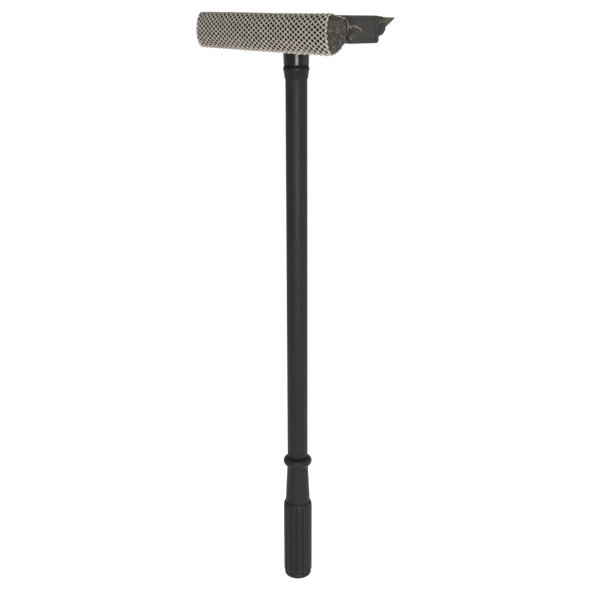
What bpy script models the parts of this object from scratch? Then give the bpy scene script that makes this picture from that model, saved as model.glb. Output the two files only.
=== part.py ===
"""Hand-held windscreen washer: a net-covered scrubbing pad and a rubber squeegee blade on one head, with a long handle.

The handle's axis is Z and the flat end of the grip is at z = 0. The head runs along X, the pad faces -Y and the
blade faces +Y. All driving dimensions are in millimetres, and MM turns them into Blender's metres.
"""

import math

import bmesh
import bpy
from mathutils import Matrix, Vector

MM = 0.001
GAP = 0.3  # between pieces that touch, are pressed together or slide
ROUND = 64  # sides of a turned piece

# Head: length along X, and the box section of its moulded frame
HEAD_LENGTH = 203.0
HEAD_END = HEAD_LENGTH / 2
FRAME_FRONT, FRAME_REAR = -18.5, 11.0
FRAME_BOTTOM, FRAME_TOP = 510.6, 531.5
WALL = 2.6
CORNER = 2.2
STOP_WALL = 2.0  # closes one end of the channel and of the blade slot

# Front channel that holds the pad's backing strip
LIP = 1.4
LIP_OVERLAP = 2.7
CHANNEL_DEPTH = 6.1
WEB = 1.5

# Pad: a D-shaped section whose widest height is at PAD_RIDGE
PAD_LENGTH = 209.4
PAD_CENTRE = 517.8
PAD_HEIGHT = 31.7
PAD_RIDGE, PAD_BELLY = -35.2, 6.2
PAD_BACK = FRAME_FRONT - GAP
PAD_TOP_BACK, PAD_BOTTOM_BACK = 531.4, 511.2
PAD_SQUARENESS = 2.1
NET = 0.45
SPLINE_RADIUS = 1.2

# Blade and its carrier, behind the frame
CARRIER_TOP = 530.9
TONGUE, HOOK_LOW, HOOK_HIGH = 1.4, 518.1, 520.3
RIDGE, RIDGE_LOW = 0.8, 528.9
BLADE_TIP = (26.6, 529.8)

# Socket, collar and tube
BOSS_TOP_RADIUS, BOSS_MOUTH_RADIUS = 11.7, 11.05
BOSS_INNER_RADIUS = 11.0
BOSS_MOUTH = 490.0
TUBE_RADIUS, TUBE_WALL = 9.525, 2.0
TUBE_TOP = 525.5
COLLAR_BOTTOM, COLLAR_LIP, COLLAR_LIP_RADIUS = 477.8, 485.4, 11.4

# Where the head's pieces have their origins: its own centre, and the lines that the pad and the blade slide along
HEAD_CENTRE = (0, -3.75, 521.05)
PAD_LINE = (0, -14.0, 521.05)
BLADE_LINE = (0, 12.35, 526.9)

# Grip: bead, tapered neck, ribbed barrel and end cap
BEAD_CENTRE, BEAD_HALF, BEAD_RADIUS = 121.2, 4.2, 13.4
NECK_TOP_RADIUS, NECK_BOTTOM_RADIUS = 9.8, 11.6
BARREL_TOP, BARREL_STEP = 79.4, 3.0
BARREL_RADIUS, GROOVE, RIBS = 13.5, 0.9, 14
GRIP_WALL = 2.4
SPIGOT_LENGTH = 35.0
CAP_RADIUS, CAP_HEIGHT, CAP_ROUND, CAP_PLUG = 12.8, 6.4, 4.5, 8.0


def clear_scene():
    for obj in list(bpy.data.objects):
        bpy.data.objects.remove(obj)


def material(name, colour, roughness, metallic=0.0):
    made = bpy.data.materials.new(name)
    made.use_nodes = True
    shader = made.node_tree.nodes["Principled BSDF"]
    shader.inputs["Base Color"].default_value = (*colour, 1.0)
    shader.inputs["Roughness"].default_value = roughness
    shader.inputs["Metallic"].default_value = metallic
    return made


def new_object(name, bm, finish):
    """An object from a bmesh in millimetres, with its faces turned outwards."""
    bmesh.ops.remove_doubles(bm, verts=bm.verts, dist=1e-5)
    bmesh.ops.recalc_face_normals(bm, faces=bm.faces)
    bmesh.ops.transform(bm, matrix=Matrix.Scale(MM, 4), verts=bm.verts)
    mesh = bpy.data.meshes.new(name)
    bm.to_mesh(mesh)
    bm.free()
    obj = bpy.data.objects.new(name, mesh)
    bpy.context.collection.objects.link(obj)
    if finish:
        mesh.materials.append(finish)
    return obj


def set_origin(obj, origin):
    """Puts the object's origin at a point given in millimetres, and leaves its surface where it is."""
    offset = Vector(origin) * MM
    obj.data.transform(Matrix.Translation(-offset))
    obj.location = offset
    return obj


def smooth(obj, angle=40.0):
    obj.data.shade_smooth()
    obj.data.set_sharp_from_angle(angle=math.radians(angle))
    return obj


def bar(name, section, x_from, x_to, finish=None):
    """A section in the YZ plane, run along X."""
    bm = bmesh.new()
    face = bm.faces.new([bm.verts.new((x_from, y, z)) for y, z in section])
    side = bmesh.ops.extrude_face_region(bm, geom=[face])
    moved = [v for v in side["geom"] if isinstance(v, bmesh.types.BMVert)]
    bmesh.ops.translate(bm, verts=moved, vec=(x_to - x_from, 0, 0))
    return new_object(name, bm, finish)


def turned(name, profile, finish=None, steps=ROUND):
    """A closed (radius, z) profile turned round the Z axis."""
    bm = bmesh.new()
    points = [bm.verts.new((r, 0, z)) for r, z in profile]
    edges = [bm.edges.new((a, b)) for a, b in zip(points, points[1:] + points[:1])]
    bmesh.ops.spin(
        bm,
        geom=points + edges,
        cent=(0, 0, 0),
        axis=(0, 0, 1),
        angle=math.tau,
        steps=steps,
        use_merge=True,
    )
    bmesh.ops.dissolve_degenerate(bm, dist=1e-5, edges=bm.edges)
    return smooth(new_object(name, bm, finish))


def arc(centre, radius, start, end, count=6):
    """Points on a circle from the start angle to the end angle, in degrees."""
    angles = [math.radians(start + (end - start) * i / count) for i in range(count + 1)]
    return [
        (centre[0] + radius * math.cos(a), centre[1] + radius * math.sin(a))
        for a in angles
    ]


def rounded_box(y_from, y_to, z_from, z_to, radius):
    """A rectangle in the YZ plane with round corners, anticlockwise from its lower front corner."""
    corners = (
        ((y_from + radius, z_from + radius), 180),
        ((y_to - radius, z_from + radius), 270),
        ((y_to - radius, z_to - radius), 0),
        ((y_from + radius, z_to - radius), 90),
    )
    return [p for centre, start in corners for p in arc(centre, radius, start, start + 90)]


def boolean(obj, tool, operation):
    """Cuts the tool from obj, or joins it to obj, and hides the tool."""
    modifier = obj.modifiers.new(tool.name, "BOOLEAN")
    modifier.operation = operation
    modifier.solver = "EXACT"
    modifier.object = tool
    tool.hide_render = True
    tool.display_type = "WIRE"


def pad_front(inset):
    """The pad's belly, from its top ridge round the front to its bottom ridge, a superellipse."""
    half, reach, power = PAD_HEIGHT / 2 - inset, PAD_BELLY - inset, 2 / PAD_SQUARENESS
    points = []
    for step in range(25):
        angle = math.pi / 2 - math.pi * step / 24
        c, s = math.cos(angle), math.sin(angle)
        points.append(
            (
                PAD_RIDGE - reach * abs(c) ** power,
                PAD_CENTRE + half * math.copysign(abs(s) ** power, s),
            )
        )
    return points


def pad_outline(inset, back):
    """The pad's section without its back line, from the top back corner to the bottom back corner."""
    return [(back, PAD_TOP_BACK - inset), *pad_front(inset), (back, PAD_BOTTOM_BACK + inset)]


def make_frame(plastic):
    """The moulded head: a box open at both ends, with the pad's channel in front, a groove for the blade carrier
    behind, and the handle's socket below."""
    frame = bar(
        "head_frame",
        rounded_box(FRAME_FRONT, FRAME_REAR, FRAME_BOTTOM, FRAME_TOP, CORNER),
        -HEAD_END,
        HEAD_END,
        plastic,
    )
    low, high = FRAME_BOTTOM + WALL, FRAME_TOP - WALL
    past = 5.0
    hollow_front = FRAME_FRONT + CHANNEL_DEPTH + WEB
    hollow = bar(
        "cut_hollow",
        rounded_box(hollow_front, FRAME_REAR - WALL - GAP, low, high, 1.2),
        -HEAD_END - past,
        HEAD_END + past,
    )
    mouth_low, mouth_high = low + LIP_OVERLAP, high - LIP_OVERLAP
    inner = FRAME_FRONT + LIP
    channel = bar(
        "cut_channel",
        [
            (FRAME_FRONT - past, mouth_low),
            (inner, mouth_low),
            (inner, low),
            (FRAME_FRONT + CHANNEL_DEPTH, low),
            (FRAME_FRONT + CHANNEL_DEPTH, high),
            (inner, high),
            (inner, mouth_high),
            (FRAME_FRONT - past, mouth_high),
        ],
        -HEAD_END + STOP_WALL,
        HEAD_END + past,
    )
    groove = bar(
        "cut_groove",
        [
            (FRAME_REAR - TONGUE, HOOK_LOW - GAP),
            (FRAME_REAR + past, HOOK_LOW - GAP),
            (FRAME_REAR + past, CARRIER_TOP + 0.1),
            (FRAME_REAR - RIDGE, CARRIER_TOP + 0.1),
            (FRAME_REAR - RIDGE, RIDGE_LOW - GAP),
            (FRAME_REAR + 1.0, RIDGE_LOW - GAP),
            (FRAME_REAR + 1.0, HOOK_HIGH + GAP),
            (FRAME_REAR - TONGUE, HOOK_HIGH + GAP),
        ],
        -HEAD_END - past,
        HEAD_END + past,
    )
    boss = turned(
        "join_boss",
        [
            (0, BOSS_MOUTH),
            (BOSS_MOUTH_RADIUS, BOSS_MOUTH),
            (BOSS_TOP_RADIUS, FRAME_BOTTOM - 1.5),
            (BOSS_INNER_RADIUS - 1.8, FRAME_BOTTOM + 1.0),
            (BOSS_INNER_RADIUS - 0.2, FRAME_BOTTOM + 1.0),
            (BOSS_INNER_RADIUS - 0.2, FRAME_TOP - 1.0),
            (0, FRAME_TOP - 1.0),
        ],
    )
    bore = turned(
        "cut_bore",
        [
            (0, BOSS_MOUTH - past),
            (TUBE_RADIUS + GAP, BOSS_MOUTH - past),
            (TUBE_RADIUS + GAP, TUBE_TOP + GAP),
            (0, TUBE_TOP + GAP),
        ],
    )
    boolean(frame, hollow, "DIFFERENCE")
    boolean(frame, channel, "DIFFERENCE")
    boolean(frame, boss, "UNION")
    boolean(frame, groove, "DIFFERENCE")
    boolean(frame, bore, "DIFFERENCE")
    set_origin(frame, HEAD_CENTRE)


def make_end_plates(plastic):
    """A plate with a short skirt closes each end of the frame's hollow."""
    front = FRAME_FRONT + CHANNEL_DEPTH + WEB + GAP
    rear = FRAME_REAR - WALL - 2 * GAP
    low, high = FRAME_BOTTOM + WALL + GAP, FRAME_TOP - WALL - GAP
    outer, skirt_depth, thickness, inset = 101.0, 6.0, 1.8, 1.5
    for name, side in (("end_plate_left", -1), ("end_plate_right", 1)):
        ends = sorted((side * outer, side * (outer - skirt_depth)))
        plate = bar(name, rounded_box(front, rear, low, high, 1.0), *ends, plastic)
        cut = sorted((side * (outer - thickness), side * (outer - skirt_depth - 5)))
        pocket = rounded_box(front + inset, rear - inset, low + inset, high - inset, 0.6)
        boolean(plate, bar("cut_" + name, pocket, *cut), "DIFFERENCE")
        set_origin(plate, (side * outer, *HEAD_CENTRE[1:]))


def make_carrier(plastic):
    """The rail behind the frame that holds the blade's root in a T-shaped slot."""
    face = FRAME_REAR + GAP
    hook, ridge = face - TONGUE, face - RIDGE
    carrier = bar(
        "blade_carrier",
        [
            (hook, HOOK_LOW),
            (face, HOOK_LOW),
            (face, 516.2),
            (12.2, 515.9),
            (15.4, 517.6),
            (17.3, 520.4),
            (17.7, 523.0),
            (14.55, 530.4),
            (13.9, CARRIER_TOP),
            (face, CARRIER_TOP),
            (face, CARRIER_TOP - 0.3),
            (ridge, CARRIER_TOP - 0.3),
            (ridge, RIDGE_LOW),
            (face, RIDGE_LOW),
            (face, HOOK_HIGH),
            (hook, HOOK_HIGH),
        ],
        -HEAD_END,
        HEAD_END,
        plastic,
    )
    slot = bar(
        "cut_slot",
        [
            (22.0, 525.7),
            (22.0, 528.1),
            (13.5, 528.1),
            (13.5, 529.5),
            (11.2, 529.5),
            (11.2, 524.3),
            (13.5, 524.3),
            (13.5, 525.7),
        ],
        -HEAD_END + STOP_WALL,
        HEAD_END + 5.0,
    )
    boolean(carrier, slot, "DIFFERENCE")
    set_origin(carrier, BLADE_LINE)


def make_blade(rubber):
    """One rubber moulding: a T-shaped root in the carrier's slot, a neck, and a wedge that ends in the wiping lip."""
    blade = bar(
        "squeegee_blade",
        [
            (11.5, 524.6),
            (13.2, 524.6),
            (13.2, 526.0),
            (16.76, 526.0),
            (18.1, 522.9),
            (BLADE_TIP[0], BLADE_TIP[1] - 0.5),
            BLADE_TIP,
            (14.9, 530.3),
            (15.98, 527.8),
            (13.2, 527.8),
            (13.2, 529.2),
            (11.5, 529.2),
        ],
        -HEAD_END + STOP_WALL + GAP,
        HEAD_END,
        rubber,
    )
    set_origin(blade, BLADE_LINE)


def make_pad(foam, net, plastic):
    """The scrubbing pad as one refill: foam, the net round it, the strip behind it, and the splines in the net's hems."""
    half = PAD_LENGTH / 2
    inner_end = -HEAD_END + STOP_WALL + GAP
    foam_back = PAD_BACK - NET - GAP
    block = bar("scrubber_foam", pad_outline(NET + GAP, foam_back), -half, half, foam)
    set_origin(smooth(block), PAD_LINE)

    low, high = FRAME_BOTTOM + WALL, FRAME_TOP - WALL
    stem_low, stem_high = low + LIP_OVERLAP + 0.7, high - LIP_OVERLAP - 0.7
    flange_back = FRAME_FRONT + CHANNEL_DEPTH - GAP
    flange_front = flange_back - 1.3
    strip = bar(
        "backing_strip",
        [
            (foam_back + GAP, stem_low),
            (flange_front, stem_low),
            (flange_front, low + GAP),
            (flange_back, low + GAP),
            (flange_back, high - GAP),
            (flange_front, high - GAP),
            (flange_front, stem_high),
            (foam_back + GAP, stem_high),
        ],
        inner_end,
        HEAD_END,
        plastic,
    )
    set_origin(strip, PAD_LINE)

    hem_y = FRAME_FRONT + LIP + 0.8
    thin = 0.35
    hem_high, hem_low = stem_high + 0.2 + thin, stem_low - 0.2 - thin
    outside = [(hem_y, hem_high), (PAD_BACK, hem_high), *pad_outline(0, PAD_BACK)]
    outside += [(PAD_BACK, hem_low), (hem_y, hem_low)]
    inside = [(hem_y, hem_high - thin), (PAD_BACK - thin, hem_high - thin)]
    inside += [*pad_outline(NET, PAD_BACK - thin), (PAD_BACK - thin, hem_low + thin), (hem_y, hem_low + thin)]
    sleeve = bar("mesh_sleeve", outside + inside[::-1], inner_end, half, net)
    set_origin(smooth(sleeve), PAD_LINE)

    spline_y = FRAME_FRONT + LIP + GAP + SPLINE_RADIUS
    for name, z in (
        ("hem_spline_upper", high - GAP - SPLINE_RADIUS),
        ("hem_spline_lower", low + GAP + SPLINE_RADIUS),
    ):
        circle = arc((spline_y, z), SPLINE_RADIUS, 0, 337.5, 15)
        spline = bar(name, circle, inner_end, HEAD_END, net)
        set_origin(smooth(spline), (0, spline_y, z))


def make_handle(plastic, tube_plastic):
    """The tube, and the tapered collar that covers the socket's mouth."""
    inner = TUBE_RADIUS - TUBE_WALL
    bottom = BEAD_CENTRE + BEAD_HALF + GAP
    tube = turned(
        "handle_tube",
        [(inner, bottom), (TUBE_RADIUS, bottom), (TUBE_RADIUS, TUBE_TOP), (inner, TUBE_TOP)],
        tube_plastic,
    )
    set_origin(tube, (0, 0, bottom))
    bore = TUBE_RADIUS + GAP / 2
    top = BOSS_MOUTH - GAP
    collar = turned(
        "socket_collar",
        [
            (bore, COLLAR_BOTTOM),
            (bore + 0.3, COLLAR_BOTTOM),
            (COLLAR_LIP_RADIUS - 0.25, COLLAR_LIP - 0.6),
            (COLLAR_LIP_RADIUS, COLLAR_LIP),
            (COLLAR_LIP_RADIUS, COLLAR_LIP + 2.2),
            (COLLAR_LIP_RADIUS - 0.5, top - 1.0),
            (BOSS_MOUTH_RADIUS - 0.6, top),
            (bore, top),
        ],
        plastic,
    )
    set_origin(collar, (0, 0, COLLAR_BOTTOM))


def ring(bm, z, radius, groove):
    """A ring of points at height z, cut in by the groove depth between the ribs."""
    per_rib = 7
    count = RIBS * per_rib
    points = []
    for i in range(count):
        deep = groove if i % per_rib in (0, 1) else 0.0
        angle = math.tau * i / count
        r = radius - deep
        points.append(bm.verts.new((r * math.cos(angle), r * math.sin(angle), z)))
    return [bm.edges.new((a, b)) for a, b in zip(points, points[1:] + points[:1])]


def make_grip(plastic):
    """The moulded grip: a spigot inside the tube, the bead that the tube stands on, the neck and the ribbed barrel."""
    bead_top, bead_bottom = BEAD_CENTRE + BEAD_HALF, BEAD_CENTRE - BEAD_HALF
    spigot = TUBE_RADIUS - TUBE_WALL - GAP
    barrel_bottom = CAP_HEIGHT + GAP
    bore, neck_bore = BARREL_RADIUS - GROOVE - GRIP_WALL, 6.0
    outline = [
        (bead_top + SPIGOT_LENGTH, spigot - 0.8, 0),
        (bead_top + SPIGOT_LENGTH - 1.5, spigot, 0),
        (bead_top, spigot, 0),
        (bead_top, TUBE_RADIUS, 0),
    ]
    for step in range(1, 10):
        angle = math.pi / 2 - math.pi * step / 10
        swell = TUBE_RADIUS + (BEAD_RADIUS - TUBE_RADIUS) * math.cos(angle)
        outline.append((BEAD_CENTRE + BEAD_HALF * math.sin(angle), swell, 0))
    outline += [
        (bead_bottom, NECK_TOP_RADIUS, 0),
        (BARREL_TOP, NECK_BOTTOM_RADIUS, 0),
        (BARREL_TOP - BARREL_STEP, BARREL_RADIUS, GROOVE * 1.4),
        (BARREL_TOP - 2.2 * BARREL_STEP, BARREL_RADIUS, GROOVE),
        (barrel_bottom, BARREL_RADIUS, GROOVE),
        (barrel_bottom, bore, 0),
        (BARREL_TOP - 6.0, bore, 0),
        (BARREL_TOP + 4.0, neck_bore, 0),
        (bead_bottom - 4.0, neck_bore, 0),
        (bead_top, spigot - 2.4, 0),
        (bead_top + SPIGOT_LENGTH, spigot - 2.4, 0),
    ]
    bm = bmesh.new()
    rings = [ring(bm, *place) for place in outline]
    for upper, lower in zip(rings, rings[1:] + rings[:1]):
        bmesh.ops.bridge_loops(bm, edges=upper + lower)
    grip = smooth(new_object("grip", bm, plastic), 30)
    set_origin(grip, (0, 0, barrel_bottom))


def make_cap(plastic):
    """The plug that closes the grip, with a flat end and a round edge."""
    plug = BARREL_RADIUS - GROOVE - GRIP_WALL - GAP
    edge = arc((CAP_RADIUS - CAP_ROUND, CAP_ROUND), CAP_ROUND, -90, 0, 8)
    turned(
        "grip_end_cap",
        [
            (0, 0),
            *edge,
            (CAP_RADIUS, CAP_HEIGHT),
            (plug, CAP_HEIGHT),
            (plug, CAP_HEIGHT + CAP_PLUG - 0.8),
            (plug - 0.8, CAP_HEIGHT + CAP_PLUG),
            (plug - 2.0, CAP_HEIGHT + CAP_PLUG),
            (plug - 2.0, 3.0),
            (0, 3.0),
        ],
        plastic,
    )


def main():
    clear_scene()
    head = material("head_plastic", (0.058, 0.053, 0.05), 0.5)
    tube = material("tube_plastic", (0.04, 0.036, 0.036), 0.42)
    grip = material("grip_plastic", (0.036, 0.035, 0.032), 0.55)
    rubber = material("blade_rubber", (0.02, 0.02, 0.02), 0.6)
    foam = material("foam", (0.09, 0.085, 0.075), 0.95)
    net = material("net", (0.42, 0.38, 0.33), 0.7)
    make_frame(head)
    make_end_plates(head)
    make_carrier(head)
    make_blade(rubber)
    make_pad(foam, net, head)
    make_handle(head, tube)
    make_grip(grip)
    make_cap(grip)


main()
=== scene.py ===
"""Looks of the windscreen washer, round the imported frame.

The pieces are a net-covered pad, a wiping blade, a moulded head and a ribbed handle. Lengths are in metres
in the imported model's own frame: the handle's axis is Z, the head runs along X, the pad faces -Y and the
wiping lip +Y.
"""

import logging
import math
from dataclasses import dataclass, field
from enum import Enum
from functools import cache
from typing import Callable, Iterable, Sequence

import bmesh
import bpy
from mathutils import Matrix, Vector, noise


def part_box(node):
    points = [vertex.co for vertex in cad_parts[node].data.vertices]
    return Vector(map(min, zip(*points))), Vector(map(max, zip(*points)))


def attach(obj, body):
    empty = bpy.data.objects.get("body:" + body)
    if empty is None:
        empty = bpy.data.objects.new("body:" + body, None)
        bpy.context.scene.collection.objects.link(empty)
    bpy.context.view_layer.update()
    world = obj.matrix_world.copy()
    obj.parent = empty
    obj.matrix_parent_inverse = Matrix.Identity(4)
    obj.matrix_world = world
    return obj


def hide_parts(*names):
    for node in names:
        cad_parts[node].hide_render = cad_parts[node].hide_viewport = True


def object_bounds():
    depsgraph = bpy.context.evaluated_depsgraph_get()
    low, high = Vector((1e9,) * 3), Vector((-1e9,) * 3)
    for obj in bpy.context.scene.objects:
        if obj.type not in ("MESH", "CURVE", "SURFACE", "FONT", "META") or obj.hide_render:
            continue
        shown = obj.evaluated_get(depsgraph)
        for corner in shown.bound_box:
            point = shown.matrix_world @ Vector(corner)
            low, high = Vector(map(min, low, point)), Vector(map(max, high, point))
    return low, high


LOG = logging.getLogger("windscreen_washer")
MM = 0.001
WELD = 0.001 * MM
FLAT_ANGLE = math.radians(0.5)
SHARP_ANGLE = math.radians(40)

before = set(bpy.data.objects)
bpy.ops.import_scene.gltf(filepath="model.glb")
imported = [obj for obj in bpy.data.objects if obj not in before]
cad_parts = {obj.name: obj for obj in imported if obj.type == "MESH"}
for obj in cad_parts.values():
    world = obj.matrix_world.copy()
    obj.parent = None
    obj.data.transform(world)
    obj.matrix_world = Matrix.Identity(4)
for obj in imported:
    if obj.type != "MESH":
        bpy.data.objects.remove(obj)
CAD_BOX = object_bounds()

Point2 = tuple[float, float]
Colour = tuple[float, float, float]
DUST: Colour = (0.32, 0.3, 0.27)
SPECK: Colour = (0.42, 0.38, 0.32)


class Body(str, Enum):
    """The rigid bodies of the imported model."""

    HANDLE = "body"
    PAD = "pad"
    BLADE = "blade"


class Slot(str, Enum):
    """The record's material slots."""

    HEAD = "head_plastic"
    TUBE = "tube_plastic"
    GRIP = "grip_plastic"
    RUBBER = "blade_rubber"
    FOAM = "pad_foam"
    NET = "pad_net"
    CORD = "spline_cord"


# --- Shader graphs ---


@dataclass
class Graph:
    """A thin, typed layer over a node tree.

    Args:
        tree: the node tree that new nodes go into.
    """

    tree: bpy.types.NodeTree

    def add(self, kind: str, settings: dict | None = None, **inputs: object) -> bpy.types.Node:
        """Adds a node, with its properties and its inputs set.

        Args:
            kind: the node's type, such as ShaderNodeMix.
            settings: properties of the node, such as its blend type.
            **inputs: input values or output sockets, by socket name with underscores for spaces.

        Returns:
            The new node.
        """
        node = self.tree.nodes.new(kind)
        for name, value in (settings or {}).items():
            setattr(node, name, value)
        self.dress(node, **inputs)
        return node

    def dress(self, node: bpy.types.Node, **inputs: object) -> None:
        """Sets or links a node's inputs, by socket name with underscores for spaces."""
        for name, value in inputs.items():
            self.feed(node.inputs[name.replace("_", " ")], value)

    def feed(self, socket: bpy.types.NodeSocket, value: object) -> None:
        """Links an output socket into an input, or sets the input's own value."""
        if isinstance(value, bpy.types.NodeSocket):
            self.tree.links.new(value, socket)
        else:
            socket.default_value = value

    def math(self, operation: str, *values: object, clamp: bool = False) -> bpy.types.NodeSocket:
        """A Math node's result.

        Args:
            operation: the node's operation.
            *values: its inputs, in order.
            clamp: keeps the result between 0 and 1.

        Returns:
            The output socket.
        """
        node = self.add("ShaderNodeMath", {"operation": operation, "use_clamp": clamp})
        for socket, value in zip(node.inputs, values):
            self.feed(socket, value)
        return node.outputs[0]

    def mix(self, factor: object, first: object, second: object, blend: str = "MIX") -> bpy.types.NodeSocket:
        """A colour mix's result.

        Args:
            factor: how much of the second colour shows.
            first: the colour at factor 0.
            second: the colour at factor 1.
            blend: the blend type.

        Returns:
            The output socket.
        """
        node = self.add("ShaderNodeMix", {"data_type": "RGBA", "blend_type": blend})
        for index, value in ((0, factor), (6, first), (7, second)):
            if isinstance(value, tuple) and len(value) == 3:
                value = (*value, 1.0)
            self.feed(node.inputs[index], value)
        return node.outputs[2]

    def ramp(self, value: object, low: float, high: float, out_low: float = 0.0, out_high: float = 1.0):
        """A Map Range's result, clamped, from low..high to out_low..out_high."""
        node = self.add("ShaderNodeMapRange", {"clamp": True})
        for socket, given in zip(node.inputs, (value, low, high, out_low, out_high)):
            self.feed(socket, given)
        return node.outputs[0]

    def noise(self, vector: object, scale: object, detail: float = 3.0, roughness: float = 0.5):
        """A Noise Texture's value at a vector."""
        node = self.add("ShaderNodeTexNoise", Vector=vector, Scale=scale, Detail=detail, Roughness=roughness)
        return node.outputs[0]

    def voronoi(self, vector: object, scale: float, feature: str = "F1"):
        """A Voronoi Texture's distance at a vector."""
        node = self.add("ShaderNodeTexVoronoi", {"feature": feature}, Vector=vector, Scale=scale)
        return node.outputs["Distance"]

    def stretched(self, vector: object, scale: Sequence[float]):
        """A vector multiplied along each axis, which stretches the pattern read from it."""
        node = self.add("ShaderNodeVectorMath", {"operation": "MULTIPLY"})
        self.feed(node.inputs[0], vector)
        node.inputs[1].default_value = scale
        return node.outputs[0]

    def bump(self, height: object, strength: float, distance: float):
        """A Bump node's normal, from a height."""
        return self.add("ShaderNodeBump", Height=height, Strength=strength, Distance=distance).outputs[0]

    def effect(self, group: bpy.types.NodeTree, **inputs: object):
        """The outputs of a shared group that is put into this graph."""
        return self.add("ShaderNodeGroup", {"node_tree": group}, **inputs).outputs


def new_group(name: str, inputs: dict[str, float], outputs: Iterable[str]) -> tuple[Graph, dict, dict]:
    """Starts a shader node group with a vector input, number inputs and number outputs.

    Args:
        name: the group's name.
        inputs: default values of its number inputs.
        outputs: names of its number outputs.

    Returns:
        The group's graph, its input sockets by name, and its output sockets by name.
    """
    tree = bpy.data.node_groups.new(name, "ShaderNodeTree")
    tree.interface.new_socket("Vector", in_out="INPUT", socket_type="NodeSocketVector")
    for key, value in inputs.items():
        socket = tree.interface.new_socket(key, in_out="INPUT", socket_type="NodeSocketFloat")
        socket.default_value = value
    for key in outputs:
        tree.interface.new_socket(key, in_out="OUTPUT", socket_type="NodeSocketFloat")
    graph = Graph(tree)
    start = graph.add("NodeGroupInput")
    end = graph.add("NodeGroupOutput")
    return graph, {s.name: s for s in start.outputs}, {s.name: s for s in end.inputs}


@cache
def moulded_grain_group() -> bpy.types.NodeTree:
    """Fine leathery grain of moulded plastic, and the slow unevenness of its gloss.

    Returns:
        A group with inputs Vector, Scale and Depth, and outputs Height and Cloud.
    """
    graph, given, out = new_group("moulded_grain", {"Scale": 1.0, "Depth": 1.0}, ("Height", "Cloud"))
    fine = graph.noise(given["Vector"], graph.math("MULTIPLY", given["Scale"], 2600.0), 4.0, 0.6)
    coarse = graph.noise(given["Vector"], 420.0, 3.0, 0.55)
    both = graph.math("ADD", graph.math("MULTIPLY", fine, 0.6), graph.math("MULTIPLY", coarse, 0.4))
    graph.feed(out["Height"], graph.math("MULTIPLY", both, given["Depth"]))
    cloud = graph.noise(given["Vector"], 38.0, 4.0, 0.6)
    graph.feed(out["Cloud"], graph.ramp(cloud, 0.32, 0.68))
    return graph.tree


@cache
def scuff_group() -> bpy.types.NodeTree:
    """Thin handling scratches and a little dust, as masks.

    Returns:
        A group with inputs Vector and Amount, and outputs Scratch and Dust.
    """
    graph, given, out = new_group("scuffs", {"Amount": 0.5}, ("Scratch", "Dust"))
    long_way = graph.stretched(given["Vector"], (900.0, 900.0, 60.0))
    lines = graph.noise(long_way, 1.0, 2.0, 0.5)
    patches = graph.ramp(graph.noise(given["Vector"], 55.0, 2.0), 0.48, 0.62)
    thin = graph.ramp(lines, 0.66, 0.74)
    scratch = graph.math("MULTIPLY", thin, patches)
    graph.feed(out["Scratch"], graph.math("MULTIPLY", scratch, given["Amount"]))
    specks = graph.ramp(graph.voronoi(given["Vector"], 520.0), 0.12, 0.05)
    some = graph.ramp(graph.noise(given["Vector"], 90.0, 1.0), 0.5, 0.7)
    graph.feed(out["Dust"], graph.math("MULTIPLY", graph.math("MULTIPLY", specks, some), given["Amount"]))
    return graph.tree


# --- Finishes ---


@dataclass(frozen=True)
class Finish:
    """What every finish has.

    Args:
        name: the material's name.
        colour: the base colour, linear.
        roughness: the middle roughness.
    """

    name: str
    colour: Colour
    roughness: float

    def start(self) -> tuple[bpy.types.Material, Graph, bpy.types.Node, bpy.types.NodeSocket]:
        """Makes the material.

        Returns:
            The material, its graph, its Principled shader and the object coordinates.
        """
        made = bpy.data.materials.new(self.name)
        made.use_nodes = True
        graph = Graph(made.node_tree)
        shader = made.node_tree.nodes["Principled BSDF"]
        shader.inputs["Roughness"].default_value = self.roughness
        place = graph.add("ShaderNodeTexCoord").outputs["Object"]
        return made, graph, shader, place

    def tint(self, factor: float, lift: float = 0.0) -> Colour:
        """The base colour times a factor, lifted a little, and no brighter than white."""
        return tuple(min(1.0, c * factor + lift) for c in self.colour)

    def gloss(self, graph: Graph, mask: object, spread: float) -> bpy.types.NodeSocket:
        """Roughness that follows a mask, by a spread either way."""
        return graph.ramp(mask, 0.0, 1.0, self.roughness - spread, self.roughness + spread)

    def material(self) -> bpy.types.Material:
        """The finished material. Each kind of finish makes its own."""
        raise NotImplementedError


@dataclass(frozen=True)
class Plastic(Finish):
    """Moulded or extruded plastic.

    Args:
        grain: how deep the surface grain is, from 0 to 1.
        grain_scale: how fine the grain is; 1 is a moulded satin.
        scuffs: how much handling shows, from 0 to 1.
        drawn: how strong the faint lines along the handle's axis are, as on an extruded tube.
        specular: the shader's specular level.
    """

    grain: float = 0.5
    grain_scale: float = 1.0
    scuffs: float = 0.4
    drawn: float = 0.0
    specular: float = 0.5

    def material(self) -> bpy.types.Material:
        """Colour and gloss that drift slowly, fine grain, thin scratches and a few specks of dust."""
        made, graph, shader, place = self.start()
        grain = graph.effect(moulded_grain_group(), Vector=place, Scale=self.grain_scale, Depth=self.grain)
        scuffs = graph.effect(scuff_group(), Vector=place, Amount=self.scuffs)
        base = graph.mix(grain["Cloud"], self.tint(0.8), self.tint(1.25, 0.0006))
        worn = graph.mix(scuffs["Scratch"], base, self.tint(2.2, 0.012))
        gloss = self.gloss(graph, grain["Cloud"], 0.05)
        rough = graph.math("ADD", gloss, graph.math("MULTIPLY", scuffs["Scratch"], 0.25), clamp=True)
        height = grain["Height"]
        if self.drawn:
            lines = graph.noise(graph.stretched(place, (1.0, 1.0, 0.012)), 1500.0, 2.0)
            height = graph.math("ADD", height, graph.math("MULTIPLY", lines, self.drawn))
        normal = graph.bump(height, 0.35, 0.06 * MM)
        graph.dress(shader, Base_Color=graph.mix(scuffs["Dust"], worn, DUST), Roughness=rough, Normal=normal)
        graph.dress(shader, Specular_IOR_Level=self.specular)
        return made


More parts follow.
